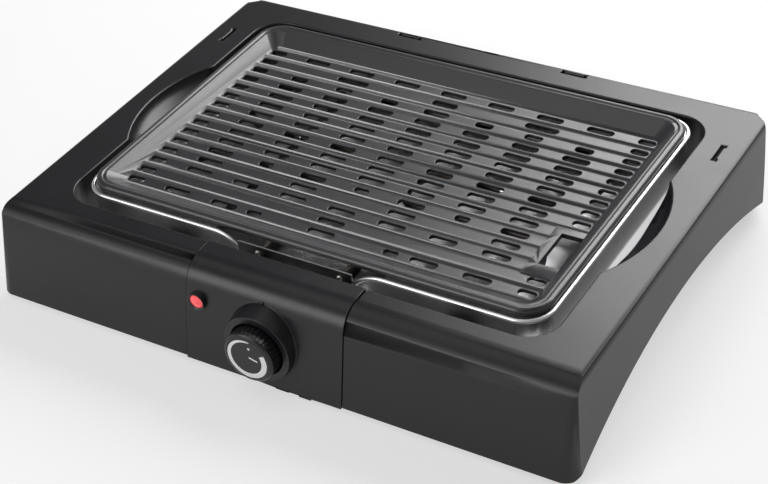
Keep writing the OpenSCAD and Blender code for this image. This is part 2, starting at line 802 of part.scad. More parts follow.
// saddles that hold the element on the flat bars
module element_clips() {
  low = -bracket_low + sheet;
  grip = rod_radius + 1;
  color("#aeb0b3") place() for (s = [-1, 1], y = run) translate([s * bar_x, y, 0]) difference() {
    union() {
      translate([-3, -grip - 0.2, low]) cube([6, 2 * grip + 0.4, rod_radius + 0.4]);
      translate([0, 0, -rod_drop]) rod_x(grip, -3, 3);
      translate([-3, -grip - 4, low]) cube([6, 2 * grip + 8, 0.9]);
    }
    translate([0, 0, -rod_drop]) rod_x(rod_radius + 0.05, -4, 4);
    translate([-4, -rod_radius - 2, low - 3]) cube([8, 2 * rod_radius + 4, 3]);
    translate([-4, 0.5 - rod_radius, low - 1]) cube([8, 2 * rod_radius - 1, rod_radius + 1]);
  }
}

module bracket_screws() {
  color("#b9bbbd") place() for (s = [-1, 1])
    translate([s * hook_screw_x, control_back + sheet, -hook_screw_drop])
      rotate([90, 0, 0]) screw_up(screw_shank, 7, 2.9);
}

// outside of the control unit: the section of the housing, slightly proud
module control_solid(inset, half) {
  past = inset > 0 ? over : 0;
  intersection() {
    along_x(2 * half) section_yz(inset - control_proud, control_drop + past);
    translate([-half - over, base_front - 60, -control_drop - 5])
      cube([2 * half + 2 * over, control_back - base_front + 60 + past, control_drop + 5 + over]);
  }
}

// turned part of the front around the knob
module knob_axis() {
  translate([0, 0, -knob_drop]) rotate([90, 0, 0]) children();
}

module control_cover() {
  color("#3b3b3f") place() difference() {
    union() {
      difference() {
        control_solid(0, control_half);
        control_solid(control_wall + control_proud, control_half - control_wall);
      }
      // collar and pocket of the knob
      intersection() {
        knob_axis() {
          translate([0, 0, -collar_face - collar_length])
            cylinder(r1 = collar_foot, r2 = collar_rim, h = collar_length);
          translate([0, 0, -pocket_floor - pocket_skin])
            cylinder(r = collar_bore + 2.4, h = pocket_floor + pocket_skin - collar_face - 4);
        }
        translate([-control_half, base_front - 30, -control_drop]) cube([control_width, 60, control_drop]);
      }
      // bosses for the cover screws
      for (s = [-1, 1], y = boss_y) translate([s * boss_x, y, -body_drop + 2]) cylinder(r = 4.2, h = 22);
      // pointer mark above the knob
      translate([0, roll_y, -front_roll]) rotate([mark_turn, 0, 0])
        translate([0, 0, front_roll + control_proud - 0.5]) cube([1.6, 1.4, 4], center = true);
      // tab at the foot of the front
      translate([tab_x[0], base_front - control_proud, -control_drop - 1.6])
        cube([tab_x[1] - tab_x[0], control_wall, 2.6]);
    }
    knob_axis() {
      // room for the thermostat behind the pocket
      translate([0, 0, -collar_face - collar_length - over])
        cylinder(r = norm(thermo_plate) / 2 + 0.4, h = collar_length + over - pocket_depth - pocket_skin);
      translate([0, 0, -pocket_floor]) cylinder(r = collar_bore, h = 30);
      translate([0, 0, -pocket_floor - 5]) cylinder(r = spindle + 0.4, h = 10);
      for (s = [-1, 1]) translate([s * thermo_screw_x, 0, -pocket_floor - 5])
        cylinder(r = screw_shank + 0.1, h = 10);
    }
    translate([-pilot_offset, 0, -pilot_drop]) rod_y(bezel_radius + 0.05, base_front - 10, base_front + 30);
    // room for the shelves of the housing below the side walls
    for (s = [-1, 1]) translate([s > 0 ? control_half - control_wall - over : -control_half - over,
      hole_front - ledge_run - 4, -control_drop - over])
        cube([control_wall + 2 * over, ledge_run + 5, control_drop + over - ledge_low + rest]);
    for (s = [-1, 1], y = boss_y) translate([s * boss_x, y, -body_drop]) cylinder(r = screw_core, h = 18);
    // hole for the pin of the safety switch
    translate([0, plunger_y, -plunger_drop])
      rod_x(plunger_radius + 0.15, control_half - control_wall - over,
      control_half + over);
    translate([tab_x[0] + 11, base_front - 5, -control_drop - 2.6]) cube([8, 10, 2.6]);
  }
}

module control_back_cover() {
  face_in = base_front + control_wall + 1.5;
  color("#2c2c2f") place() difference() {
    union() {
      translate([-cover_half, control_back - cover_thick, -cover_low])
        cube([2 * cover_half, cover_thick, cover_low - wall]);
      translate([-cover_half, face_in, -cover_low])
        cube([2 * cover_half, control_back - face_in, cover_thick]);
    }
    for (s = [-1, 1]) {
      translate([s * leg_offset, 0, -rod_drop])
        rod_y(rod_radius + 0.1, control_back - 5, control_back + over);
      translate([s * hook_screw_x, 0, -hook_screw_drop])
        rod_y(screw_core, control_back - 5, control_back + over);
    }
    for (s = [-1, 1], y = boss_y) translate([s * boss_x, y, -cover_low - over]) {
      cylinder(r = screw_shank + 0.1, h = cover_thick + 2 * over);
      cylinder(r = 3.3, h = over + 1);
    }
    // room for the collar of the knob
    translate([-notch_x, face_in - over, -cover_low - over])
      cube([2 * notch_x, collar_face + collar_length + rest - face_in + over, cover_thick + 2 * over]);
    // vents in the bottom
    for (i = [-2 : 2]) translate([i * 5 - 1, control_back - 26, -cover_low - over])
      cube([2, 18, cover_thick + 2 * over]);
    translate([gland_x, gland_y, -cover_low - over]) cylinder(r = 5.2, h = cover_thick + 2 * over);
  }
}

module cover_screws() {
  color("#b9bbbd") place() for (s = [-1, 1], y = boss_y) translate([s * boss_x, y, -cover_low + 1])
    screw_up(screw_shank, cover_screw, 3);
}

module knob() {
  grip = 36;
  depth = knob_face_drop;
  color("#26262a") place() knob_axis() difference() {
    union() {
      translate([0, 0, -knob_face - depth]) cylinder(r = knob_radius, h = depth - 2);
      translate([0, 0, -knob_face - 2]) cylinder(r1 = knob_radius, r2 = knob_radius - 1.2, h = 1.2);
      translate([0, 0, -knob_face - 0.8]) cylinder(r1 = knob_radius - 1.2, r2 = knob_radius - 3, h = 0.8);
    }
    for (i = [0 : grip - 1]) rotate([0, 0, i * 360 / grip])
      translate([knob_radius + 0.4, 0, -knob_face - depth - over]) cylinder(r = 0.75, h = depth - 2, $fn = 16);
    translate([0, 0, -knob_face - depth - over]) cylinder(r = knob_radius - 2.5, h = 9);
    translate([0, 0, -knob_face - depth - over]) cylinder(r = spindle + 0.02, h = depth - 2);
    translate([0, 0, -knob_face - print_depth]) linear_extrude(height = over) dial_marks();
  }
  color("#26262a") place() knob_axis() translate([0, 0, -knob_face - depth + 1]) difference() {
    cylinder(r = 6, h = depth - 4);
    translate([0, 0, -over]) cylinder(r = spindle + 0.02, h = depth - 4);
  }
}

// marks on the face of the knob: growing arc, dot and pointer dash
module dial_marks() {
  steps = 40;
  sweep = 310;
  outer = knob_radius * 0.8;
  thin = 0.6;
  grow = 3.9;
  polygon(concat(
    [for (i = [0 : steps]) let (a = 77 + sweep * i / steps) outer * [cos(a), sin(a)]],
    [for (i = [steps : -1 : 0]) let (a = 77 + sweep * i / steps, t = thin + grow * sqrt(i / steps))
      (outer - t) * [cos(a), sin(a)]]
  ));
  translate([2.5, 9.8]) circle(r = 1);
  translate([1.6, 1.4]) rotate(-14) square([7, 1.3]);
}

module knob_scale() {
  color("#f2f2f2") place() knob_axis() translate([0, 0, -knob_face - print_depth])
    linear_extrude(height = print_depth) dial_marks();
}

module thermostat_spindle() {
  color("#c9cbce") place() translate([0, 0, -knob_drop]) rod_y(spindle, knob_face + 4, thermo_front + 1);
}

module thermostat_bracket() {
  color("#c2c4c7") place() difference() {
    translate([-thermo_plate[0] / 2, pocket_floor + pocket_skin, -knob_drop - thermo_plate[1] / 2])
      cube([thermo_plate[0], sheet, thermo_plate[1]]);
    translate([0, 0, -knob_drop]) rod_y(spindle + 0.4, pocket_floor, pocket_floor + 10);
    for (s = [-1, 1]) translate([s * thermo_screw_x, 0, -knob_drop])
      rod_y(screw_shank + 0.1, pocket_floor, pocket_floor + 10);
  }
}

module thermostat_body() {
  color("#e6e2d8") place() difference() {
    union() {
      translate([0, 0, -knob_drop]) rod_y(15, thermo_front, thermo_front + 14);
      translate([-9, thermo_front + 14, -knob_drop - 9]) cube([18, 6, 18]);
    }
    translate([0, 0, -knob_drop]) rod_y(spindle + 0.05, thermo_front - over, thermo_front + 1.2);
    for (s = [-1, 1]) translate([s * thermo_screw_x, 0, -knob_drop])
      rod_y(screw_core, thermo_front - over, thermo_front + 8);
  }
}

module thermostat_screws() {
  color("#b9bbbd") place() for (s = [-1, 1]) translate([s * thermo_screw_x, pocket_floor, -knob_drop])
    rotate([-90, 0, 0]) screw_up(screw_shank, 9, 2.6);
}

module pilot_bezel() {
  color("#202023") place() translate([-pilot_offset, 0, -pilot_drop]) difference() {
    rod_y(bezel_radius, bezel_front, bezel_front + 8);
    rod_y(lens_radius + 0.03, bezel_front - over, bezel_front + 9);
    translate([0, bezel_front - 0.01, 0]) rotate([-90, 0, 0])
      cylinder(r1 = bezel_radius - 0.5, r2 = lens_radius, h = 1.3);
  }
}

module pilot_lens() {
  color("#d8202e") place() translate([-pilot_offset, 0, -pilot_drop]) {
    rod_y(lens_radius, bezel_front + 1, bezel_front + 9);
    intersection() {
      translate([0, bezel_front + 10, 0]) sphere(r = 10.4);
      rod_y(lens_radius, bezel_front - 2, bezel_front + 1.01);
    }
  }
}

module pilot_lamp() {
  color("#f0a070") place() translate([-pilot_offset, 0, -pilot_drop])
    rod_y(2.6, bezel_front + 9, bezel_front + 20);
}

module pilot_clip() {
  color("#c9cbce") place() translate([-pilot_offset, 0, -pilot_drop]) difference() {
    rod_y(bezel_radius + 0.1, bezel_front + 8, bezel_front + 8.8);
    rod_y(lens_radius + 0.03, bezel_front + 7, bezel_front + 10);
  }
}

module safety_switch() {
  color("#1f3a5c") place() difference() {
    translate([plunger_x - 12, plunger_y - 5, -plunger_drop - 8]) cube([12, 10, 16]);
    translate([0, plunger_y, -plunger_drop]) rod_x(plunger_radius + 0.05, plunger_x - 7, plunger_x + over);
  }
}

module switch_plunger() {
  color("#e8e8e8") place() translate([0, plunger_y, -plunger_drop])
    rod_x(plunger_radius, plunger_x - 5.5, bay_half - rest);
}

module terminal_block() {
  color("#efe9dc") place() difference() {
    translate([-block_x - 16, block_y - 7, -cover_low + cover_thick]) cube([32, 14, 11]);
    for (i = [-1 : 1]) translate([-block_x + i * 10, block_y, -cover_low + cover_thick + 6])
      cylinder(r = 1.9, h = 6);
    for (i = [-1 : 1]) translate([-block_x + i * 10, 0, -cover_low + cover_thick + 3])
      rod_y(1.6, block_y - 8, block_y + 8);
  }
}

module terminal_screws() {
  color("#b9bbbd") place() for (i = [-1 : 1])
    translate([-block_x + i * 10, block_y, -cover_low + cover_thick + 6]) cylinder(r = 1.85, h = 4.4);
}

module thermal_fuse() {
  color("#d9dadc") place() translate([leg_offset + rod_radius + 2.1, 0, -rod_drop]) {
    rod_y(2, leg_start + 1, leg_start + 9);
    rod_y(0.5, leg_start - 4, leg_start + 10);
  }
}

module cord_gland() {
  color("#19191b") place() translate([gland_x, gland_y, -cover_low]) difference() {
    union() {
      cylinder(r = 5.15, h = 8);
      translate([0, 0, cover_thick]) cylinder(r = 7, h = 1.8);
      translate([0, 0, -1.2]) cylinder(r = 6.4, h = 1.2);
    }
    translate([0, 0, -2]) cylinder(r = 3.4, h = 12);
  }
}

module earth_tag() {
  color("#c9b25a") place() difference() {
    translate([-4, control_back - cover_thick - 0.8, -earth_drop - 5]) cube([8, 0.8, 16]);
    translate([0, 0, -earth_drop]) rod_y(1.8, control_back - 6, control_back);
  }
}

// insulated wire through a list of points, with ball joints at the bends
module wire(points) {
  for (i = [0 : len(points) - 2]) {
    step = points[i + 1] - points[i];
    far = norm(step);
    translate(points[i]) rotate([0, acos(step[2] / far), atan2(step[1], step[0])])
      cylinder(r = wire_radius, h = far, $fn = 16);
    if (i > 0) translate(points[i]) sphere(r = wire_radius + 0.08, $fn = 16);
  }
}

module wire_live() {
  y = thermo_front + 20;
  color("#7a4a2a") place() wire([[-block_x - 10, block_y + 7, -cover_low + 5.2],
    [-block_x - 10, block_y + 11, -cover_low + 5.2], [-block_x - 10, block_y + 11, -knob_drop - 5],
    [-9, y - 3, -knob_drop - 5]]);
}

module wire_neutral() {
  color("#2a5a9a") place() wire([[-block_x, block_y - 7, -cover_low + 5.2],
    [-block_x, block_y - 9.5, -cover_low + 5.2], [-block_x - 6, block_y - 6, -rod_drop - 16],
    [-leg_offset, leg_start - 12, -rod_drop]]);
}

module wire_link() {
  y = thermo_front + 17;
  color("#a03028") place() wire([[9, y, -knob_drop], [leg_offset - 4, y + 3, -knob_drop],
    [leg_offset, leg_start - 12, -rod_drop]]);
}

housing();
foot_front_left();
foot_front_right();
foot_rear_left();
foot_rear_right();
foot_screws();
drip_tray();
grill_plate();
heating_element();
element_seals();
element_pins();
heater_bracket();
bracket_rivets();
element_rail();
element_supports();
element_clips();
bracket_screws();
control_cover();
control_back_cover();
cover_screws();
knob();
knob_scale();
thermostat_spindle();
thermostat_body();
thermostat_bracket();
thermostat_screws();
pilot_bezel();
pilot_lens();
pilot_lamp();
pilot_clip();
safety_switch();
switch_plunger();
terminal_block();
terminal_screws();
thermal_fuse();
cord_gland();
earth_tag();
wire_live();
wire_neutral();
wire_link();
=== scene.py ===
"""Dresses the electric table grill: softened housing, coated plate, bright tray, finishes and the studio."""
import json
from math import cos, radians, sin

import bmesh
import bpy
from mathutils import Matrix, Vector


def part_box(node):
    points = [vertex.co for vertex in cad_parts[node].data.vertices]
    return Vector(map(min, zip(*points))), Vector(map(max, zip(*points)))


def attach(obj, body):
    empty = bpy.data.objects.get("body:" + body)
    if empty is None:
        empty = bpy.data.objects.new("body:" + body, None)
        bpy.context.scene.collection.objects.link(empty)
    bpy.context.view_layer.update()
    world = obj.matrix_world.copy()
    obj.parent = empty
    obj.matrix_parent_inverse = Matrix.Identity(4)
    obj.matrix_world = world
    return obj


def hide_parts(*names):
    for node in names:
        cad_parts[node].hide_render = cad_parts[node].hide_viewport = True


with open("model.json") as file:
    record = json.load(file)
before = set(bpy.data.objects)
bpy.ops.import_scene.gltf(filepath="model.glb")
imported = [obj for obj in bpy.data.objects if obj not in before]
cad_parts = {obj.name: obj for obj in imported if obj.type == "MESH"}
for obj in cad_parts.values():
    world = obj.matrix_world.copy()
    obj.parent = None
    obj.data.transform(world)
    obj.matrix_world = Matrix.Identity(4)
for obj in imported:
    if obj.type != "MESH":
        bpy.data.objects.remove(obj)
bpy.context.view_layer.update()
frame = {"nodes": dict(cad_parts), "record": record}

bl_info = {
    "name": "Table grill",
    "version": (1, 0, 0),
    "blender": (4, 5, 0),
    "location": "View3D > Sidebar > Grill",
    "description": "Builds the dressed pieces, the finishes and the studio of an electric table grill",
    "category": "Object",
}

MM = 0.001
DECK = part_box("drip_tray")[0].z + 34 * MM
TRAY_MIDDLE = (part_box("drip_tray")[0].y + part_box("drip_tray")[1].y) / 2
BODY_OF = {node: name for name, nodes in frame["record"]["behaviour"]["bodies"].items() for node in nodes}
SLOT_OF = {part["node"]: part["material_slot"] for part in frame["record"]["subparts"]}


class GrillShape(bpy.types.PropertyGroup):
    """Roundings that the solids leave sharp."""
    deck_edge: bpy.props.FloatProperty(
        name="Deck edge", description="Rounding of the deck around the hole and the finger recesses",
        default=1.3 * MM, min=0.2 * MM, max=3 * MM, unit="LENGTH")
    seam_edge: bpy.props.FloatProperty(
        name="Seam edge", description="Rounding along the seams of the control unit",
        default=0.5 * MM, min=0.1 * MM, max=1 * MM, unit="LENGTH")
    plate_corner: bpy.props.FloatProperty(
        name="Inner plate corner", description="Rounding of the upright inner corners of the plate at its floor",
        default=10 * MM, min=1 * MM, max=12 * MM, unit="LENGTH")
    plate_edge: bpy.props.FloatProperty(
        name="Slot edge", description="Rounding of the drain slots",
        default=0.4 * MM, min=0.1 * MM, max=0.7 * MM, unit="LENGTH")
    knob_edge: bpy.props.FloatProperty(
        name="Knob edge", description="Rounding of the edges of the knob and its collar",
        default=0.3 * MM, min=0.1 * MM, max=0.8 * MM, unit="LENGTH")


class GrillFinish(bpy.types.PropertyGroup):
    """Colours of the finishes."""
    housing_colour: bpy.props.FloatVectorProperty(
        name="Housing", description="Colour of the moulded housing", subtype="COLOR",
        default=(0.0075, 0.007, 0.009), min=0, max=1)
    plate_colour: bpy.props.FloatVectorProperty(
        name="Plate", description="Colour of the coating of the plate", subtype="COLOR",
        default=(0.015, 0.0145, 0.0175), min=0, max=1)
    steel_colour: bpy.props.FloatVectorProperty(
        name="Sheet steel", description="Colour of the tray and the brackets", subtype="COLOR",
        default=(0.86, 0.86, 0.87), min=0, max=1)
    lens_colour: bpy.props.FloatVectorProperty(
        name="Pilot lens", description="Colour of the lens of the pilot light", subtype="COLOR",
        default=(0.78, 0.05, 0.055), min=0, max=1)
    print_colour: bpy.props.FloatVectorProperty(
        name="Print", description="Colour of the print on the knob", subtype="COLOR",
        default=(0.86, 0.86, 0.86), min=0, max=1)


class GrillStage(bpy.types.PropertyGroup):
    """Camera, lamps and floor."""
    focal_length: bpy.props.FloatProperty(
        name="Focal length", description="Focal length of the camera", default=84.21, min=20, max=200,
        unit="CAMERA")
    lamp_power: bpy.props.FloatProperty(
        name="Lamp power", description="Power of the lamp above the grill", default=36, min=0, max=200,
        unit="POWER")
    world_light: bpy.props.FloatProperty(
        name="World light", description="Strength of the even light from all sides", default=0.18, min=0, max=2)
    floor_colour: bpy.props.FloatVectorProperty(
        name="Floor", description="Colour of the floor", subtype="COLOR", default=(0.9, 0.9, 0.9), min=0, max=1)


class Value:
    """Output of a shader node that can be used in sums, products and powers."""

    def __init__(self, finish, socket):
        self.finish, self.socket = finish, socket

    def math(self, operation, *values):
        return self.finish.add("ShaderNodeMath", {"operation": operation}, dict(enumerate(values)))

    def __add__(self, other):
        return self.math("ADD", self, other)

    def __radd__(self, other):
        return self.math("ADD", other, self)

    def __sub__(self, other):
        return self.math("SUBTRACT", self, other)

    def __rsub__(self, other):
        return self.math("SUBTRACT", other, self)

    def __mul__(self, other):
        return self.math("MULTIPLY", self, other)

    def __rmul__(self, other):
        return self.math("MULTIPLY", other, self)

    def __truediv__(self, other):
        return self.math("DIVIDE", self, other)

    def __pow__(self, other):
        return self.math("POWER", self, other)

    def between(self, low, high):
        """Rises from 0 to 1 while this value goes from low to high."""
        return self.finish.add("ShaderNodeMapRange", {"clamp": True}, {"Value": self, "From Min": low, "From Max": high})


class Finish:
    """A material made of one principled surface and the patterns that feed it."""

    def __init__(self, name, **constants):
        self.material = bpy.data.materials.new(name)
        self.material.use_nodes = True
        self.tree = self.material.node_tree
        self.surface = self.tree.nodes["Principled BSDF"]
        for key, value in constants.items():
            self.surface.inputs[key.replace("_", " ")].default_value = value

    def add(self, kind, settings=None, values=None, out=0):
        node = self.tree.nodes.new(kind)
        for key, value in (settings or {}).items():
            if key == "stops":
                self.stops(node.color_ramp, value)
            else:
                setattr(node, key, value)
        for key, value in (values or {}).items():
            self.feed(node.inputs[key], value)
        return Value(self, node.outputs[out])

    def stops(self, ramp, stops):
        while len(ramp.elements) < len(stops):
            ramp.elements.new(0.5)
        for element, (position, colour) in zip(ramp.elements, stops):
            element.position, element.color = position, (*colour, 1)

    def feed(self, socket, value):
        if isinstance(value, Value):
            self.tree.links.new(value.socket, socket)
        elif hasattr(value, "__len__") and len(socket.default_value) == 4 and len(value) == 3:
            socket.default_value = (*value, 1)
        else:
            socket.default_value = value

    def here(self, stretch=(1, 1, 1), turn=(0, 0, 0)):
        """Object coordinates in metres, scaled by stretch."""
        place = self.add("ShaderNodeTexCoord", out="Object")
        return self.add("ShaderNodeMapping", {}, {"Vector": place, "Scale": stretch, "Rotation": turn})

    def noise(self, size, detail=2.0, rough=0.5, stretch=(1, 1, 1), turn=(0, 0, 0), twist=0.0):
        """Noise whose blotches are about size metres across."""
        return self.add("ShaderNodeTexNoise", {}, {
            "Vector": self.here(stretch, turn), "Scale": 0.5 / size, "Detail": detail, "Roughness": rough,
            "Distortion": twist})

    def cells(self, size, feature="F1", stretch=(1, 1, 1)):
        """Distance to the middle of cells about size metres across."""
        return self.add("ShaderNodeTexVoronoi", {"feature": feature},
                        {"Vector": self.here(stretch), "Scale": 1 / size})

    def mix(self, share, first, second):
        """Colour between first and second."""
        return self.add("ShaderNodeMix", {"data_type": "RGBA"}, {0: share, 6: first, 7: second}, out=2)

    def relief(self, height, depth, strength=1.0, normal=None):
        """Bump of the given depth in metres."""
        values = {"Height": height, "Distance": depth, "Strength": strength}
        if normal:
            values["Normal"] = normal
        return self.add("ShaderNodeBump", {}, values)

    def wear(self, **values):
        """Feeds varying values to the surface."""
        for key, value in values.items():
            self.feed(self.surface.inputs[key.replace("_", " ")], value)
        return self.material


def shade(colour, factor):
    return tuple(min(1.0, c * factor) for c in colour)


def moulded_plastic(name, colour, rough=0.31, grain=0.35 * MM, depth=0.012 * MM):
    """Satin plastic with the fine grain of an eroded mould and faint flow and handling marks."""
    f = Finish(name, Specular_IOR_Level=0.45)
    spark = f.cells(grain, "SMOOTH_F1")
    fine = f.noise(0.9 * MM, 3)
    flow = f.noise(38 * MM, 4, 0.6, (1, 1, 2.2), twist=0.6)
    dust = f.noise(1.6 * MM, 6, 0.75).between(0.66, 0.86)
    tone = f.mix(flow.between(0.3, 0.75), shade(colour, 0.86), shade(colour, 1.16))
    return f.wear(
        Base_Color=f.mix(dust * 0.10, tone, (0.16, 0.16, 0.16)),
        Roughness=rough - 0.04 + 0.09 * flow + 0.05 * fine,
        Normal=f.relief(spark + 0.5 * fine, depth, 0.55, f.relief(flow, 0.35 * MM, 0.25)))


def plate_coating(name, colour):
    """Dark non-stick coating: pebbled at the scale of the spray, with long wiped streaks and pale flecks."""
    f = Finish(name, Specular_IOR_Level=0.8)
    wiped = f.noise(1.3 * MM, 5, 0.62, (0.03, 1, 1))
    across = f.noise(1.7 * MM, 4, 0.6, (1, 0.05, 1))
    pebble = f.noise(0.7 * MM, 3, 0.6)
    patch = f.noise(24 * MM, 4, 0.55)
    fleck = f.noise(0.45 * MM, 2, 0.5).between(0.70, 0.80)
    tone = f.mix(patch.between(0.3, 0.7), shade(colour, 0.8), shade(colour, 1.3))
    return f.wear(
        Base_Color=f.mix(fleck * 0.16, tone, (0.2, 0.2, 0.2)),
        Roughness=0.2 + 0.13 * wiped + 0.08 * across + 0.08 * patch,
        Normal=f.relief(pebble + 0.6 * wiped + 0.4 * across, 0.03 * MM, 0.5))


def sheet_steel(name, colour, rough=0.2, along=(0.02, 1, 1), tint=0.0):
    """Bright sheet with drawing lines, soft smudges and a slight tint from heat."""
    f = Finish(name, Metallic=1.0)
    lines = f.noise(0.5 * MM, 4, 0.6, along)
    smudge = f.noise(16 * MM, 4, 0.6)
    heat = f.noise(34 * MM, 3, 0.5).between(0.45, 0.8)
    tone = f.mix(smudge.between(0.3, 0.7), shade(colour, 0.93), colour)
    return f.wear(
        Base_Color=f.mix(heat * tint, tone, (0.42, 0.33, 0.22)),
        Roughness=rough + 0.10 * (lines - 0.5) + 0.12 * smudge.between(0.35, 0.8),
        Normal=f.relief(lines, 0.012 * MM, 0.4))


def heated_sheath(name):
    """Oxidised sheath of the heating rod: dark grey with brown and blue bands of heat."""
    f = Finish(name, Metallic=0.85)
    band = f.noise(22 * MM, 3, 0.55)
    scale = f.noise(0.8 * MM, 4, 0.6)
    tone = f.add("ShaderNodeValToRGB", {"stops": [
        (0.3, (0.085, 0.085, 0.088)), (0.5, (0.12, 0.105, 0.092)), (0.72, (0.07, 0.075, 0.092))]}, {"Fac": band})
    return f.wear(Base_Color=f.mix(scale.between(0.5, 0.8) * 0.4, tone, (0.17, 0.16, 0.15)),
                  Roughness=0.42 + 0.14 * scale, Normal=f.relief(scale, 0.03 * MM, 0.4))


def plated_fastener(name, colour, rough=0.3):
    """Zinc plated steel with turning marks around each head."""
    f = Finish(name, Metallic=1.0)
    mottle = f.noise(1.1 * MM, 4, 0.6)
    cast = f.noise(5 * MM, 2)
    return f.wear(Base_Color=f.mix(cast.between(0.35, 0.7), colour, (0.66, 0.63, 0.55)),
                  Roughness=rough + 0.14 * mottle, Normal=f.relief(mottle, 0.02 * MM, 0.35))


def soft_rubber(name, colour):
    """Dull rubber with a talc bloom and fine pores."""
    f = Finish(name, Specular_IOR_Level=0.35)
    pore = f.cells(0.5 * MM)
    bloom = f.noise(4 * MM, 4, 0.65)
    return f.wear(Base_Color=f.mix(bloom.between(0.45, 0.85) * 0.35, colour, (0.12, 0.12, 0.115)),
                  Roughness=0.68 + 0.16 * bloom, Normal=f.relief(pore, 0.03 * MM, 0.5))


def plain_moulding(name, colour, rough=0.4, gloss=0.5):
    """Small plain moulding with a slightly uneven skin."""
    f = Finish(name, Specular_IOR_Level=gloss)
    skin = f.noise(1.4 * MM, 3, 0.55)
    cast = f.noise(9 * MM, 2)
    return f.wear(Base_Color=f.mix(cast.between(0.3, 0.7), shade(colour, 0.9), shade(colour, 1.06)),
                  Roughness=rough - 0.04 + 0.1 * skin, Normal=f.relief(skin, 0.015 * MM, 0.4))


def fired_ceramic(name):
    """Cream ceramic with a dry, speckled skin."""
    f = Finish(name, Specular_IOR_Level=0.4)
    speck = f.noise(0.5 * MM, 3).between(0.62, 0.75)
    body = f.noise(3 * MM, 4, 0.6)
    return f.wear(Base_Color=f.mix(speck * 0.4, (0.74, 0.70, 0.61), (0.45, 0.38, 0.3)),
                  Roughness=0.6 + 0.15 * body, Normal=f.relief(body, 0.05 * MM, 0.4))


def pad_print(name, colour):
    """White ink laid on by a pad, slightly thin in places."""
    f = Finish(name, Specular_IOR_Level=0.4)
    thin = f.noise(0.5 * MM, 4, 0.6)
    return f.wear(Base_Color=f.mix(thin.between(0.55, 0.85) * 0.25, colour, shade(colour, 0.75)),
                  Roughness=0.44 + 0.12 * thin, Normal=f.relief(thin, 0.01 * MM, 0.3))


def lens_with_painted_glow(name, colour):
    """Red lens with a bright coat over fine ribs, given a painted glow: it emits its own ribbed colour in place of
    light from the lamp behind it.
    """
    # Emission_Strength is a painted glow on the lens; the lamp glass behind it gives no light
    f = Finish(name, Specular_IOR_Level=0.55, Coat_Roughness=0.06, Emission_Strength=0.6)
    rib = f.cells(1.1 * MM, "SMOOTH_F1")
    glow = f.noise(4 * MM, 2)
    tone = f.mix(rib.between(0.2, 0.7), shade(colour, 1.15), shade(colour, 0.75))
    # the lens colour is also its emission colour, which makes the painted glow
    return f.wear(Base_Color=tone, Emission_Color=tone, Roughness=0.16 + 0.1 * glow,
                  Coat_Weight=0.85 + 0.1 * glow, Normal=f.relief(rib, 0.12 * MM, 0.35))


def lamp_glass(name):
    """Frosted glass of the small lamp behind the lens."""
    f = Finish(name, Transmission_Weight=0.7, IOR=1.48)
    frost = f.noise(0.6 * MM, 3)
    return f.wear(Base_Color=f.mix(frost, (0.9, 0.78, 0.66), (0.85, 0.66, 0.5)), Roughness=0.18 + 0.15 * frost,
                  Normal=f.relief(frost, 0.02 * MM, 0.3))


def build_finishes(colours):
    """One finish for each material slot of the record."""
    steel = tuple(colours.steel_colour)
    black = tuple(colours.housing_colour)
    return {
        "housing_black": moulded_plastic("housing plastic", black),
        "control_black": moulded_plastic("control plastic", shade(black, 1.05), 0.3, 0.3 * MM),
        "inner_black": plain_moulding("plain black plastic", (0.022, 0.022, 0.024)),
        "plate_coating": plate_coating("non-stick coating", tuple(colours.plate_colour)),
        "tray_steel": sheet_steel("drawn tray sheet", steel, 0.32),
        "element_sheath": heated_sheath("heating rod sheath"),
        "seal_ceramic": fired_ceramic("ceramic seal"),
        "pin_steel": plated_fastener("plain steel pin", (0.6, 0.6, 0.6), 0.25),
        "bracket_steel": sheet_steel("bracket sheet", steel, 0.2, (0.03, 1, 1), 0.25),
        "screw_steel": plated_fastener("zinc plating", (0.68, 0.68, 0.69)),
        "foot_rubber": soft_rubber("foot rubber", (0.022, 0.022, 0.022)),
        "knob_black": moulded_plastic("knob plastic", shade(black, 0.95), 0.34, 0.25 * MM, 0.008 * MM),
        "print_white": pad_print("white pad print", tuple(colours.print_colour)),
        "lens_red": lens_with_painted_glow("red lens with painted glow", tuple(colours.lens_colour)),
        "lamp_glass": lamp_glass("lamp glass"),
        "thermostat_steel": sheet_steel("thermostat case", (0.5, 0.5, 0.5), 0.3),
        "switch_plastic": plain_moulding("switch plastic", (0.66, 0.65, 0.61), 0.45),
        "terminal_plastic": plain_moulding("terminal plastic", (0.74, 0.72, 0.65), 0.35),
        "brass_parts": plated_fastener("bare brass", (0.72, 0.55, 0.26), 0.24),
        "wire_brown": plain_moulding("brown wire", (0.17, 0.075, 0.035), 0.42),
        "wire_blue": plain_moulding("blue wire", (0.03, 0.1, 0.36), 0.42),
        "wire_red": plain_moulding("red wire", (0.42, 0.035, 0.03), 0.42),
    }


FINISHES = {}


def finish_of(slot):
    if not FINISHES:
        FINISHES.update(build_finishes(bpy.context.scene.grill_finish))
    return FINISHES[slot]


def paint(*nodes):
    """Gives CAD nodes the finish of their material slot."""
    for node in nodes:
        mesh = frame["nodes"][node].data
        mesh.materials.clear()
        mesh.materials.append(finish_of(SLOT_OF[node]))


def welded(node, whole=lambda point: True):
    """Mesh of a CAD node with its loose triangles joined, and its flat faces whole where whole says so."""
    bm = bmesh.new()
    bm.from_mesh(frame["nodes"][node].data)
    bmesh.ops.remove_doubles(bm, verts=bm.verts, dist=2e-6)
    verts = [v for v in bm.verts if whole(v.co)]
    edges = [e for e in bm.edges if whole(e.verts[0].co) and whole(e.verts[1].co)]
    bmesh.ops.dissolve_limit(bm, angle_limit=radians(0.6), verts=verts, edges=edges, delimit={"NORMAL"})
    return bm


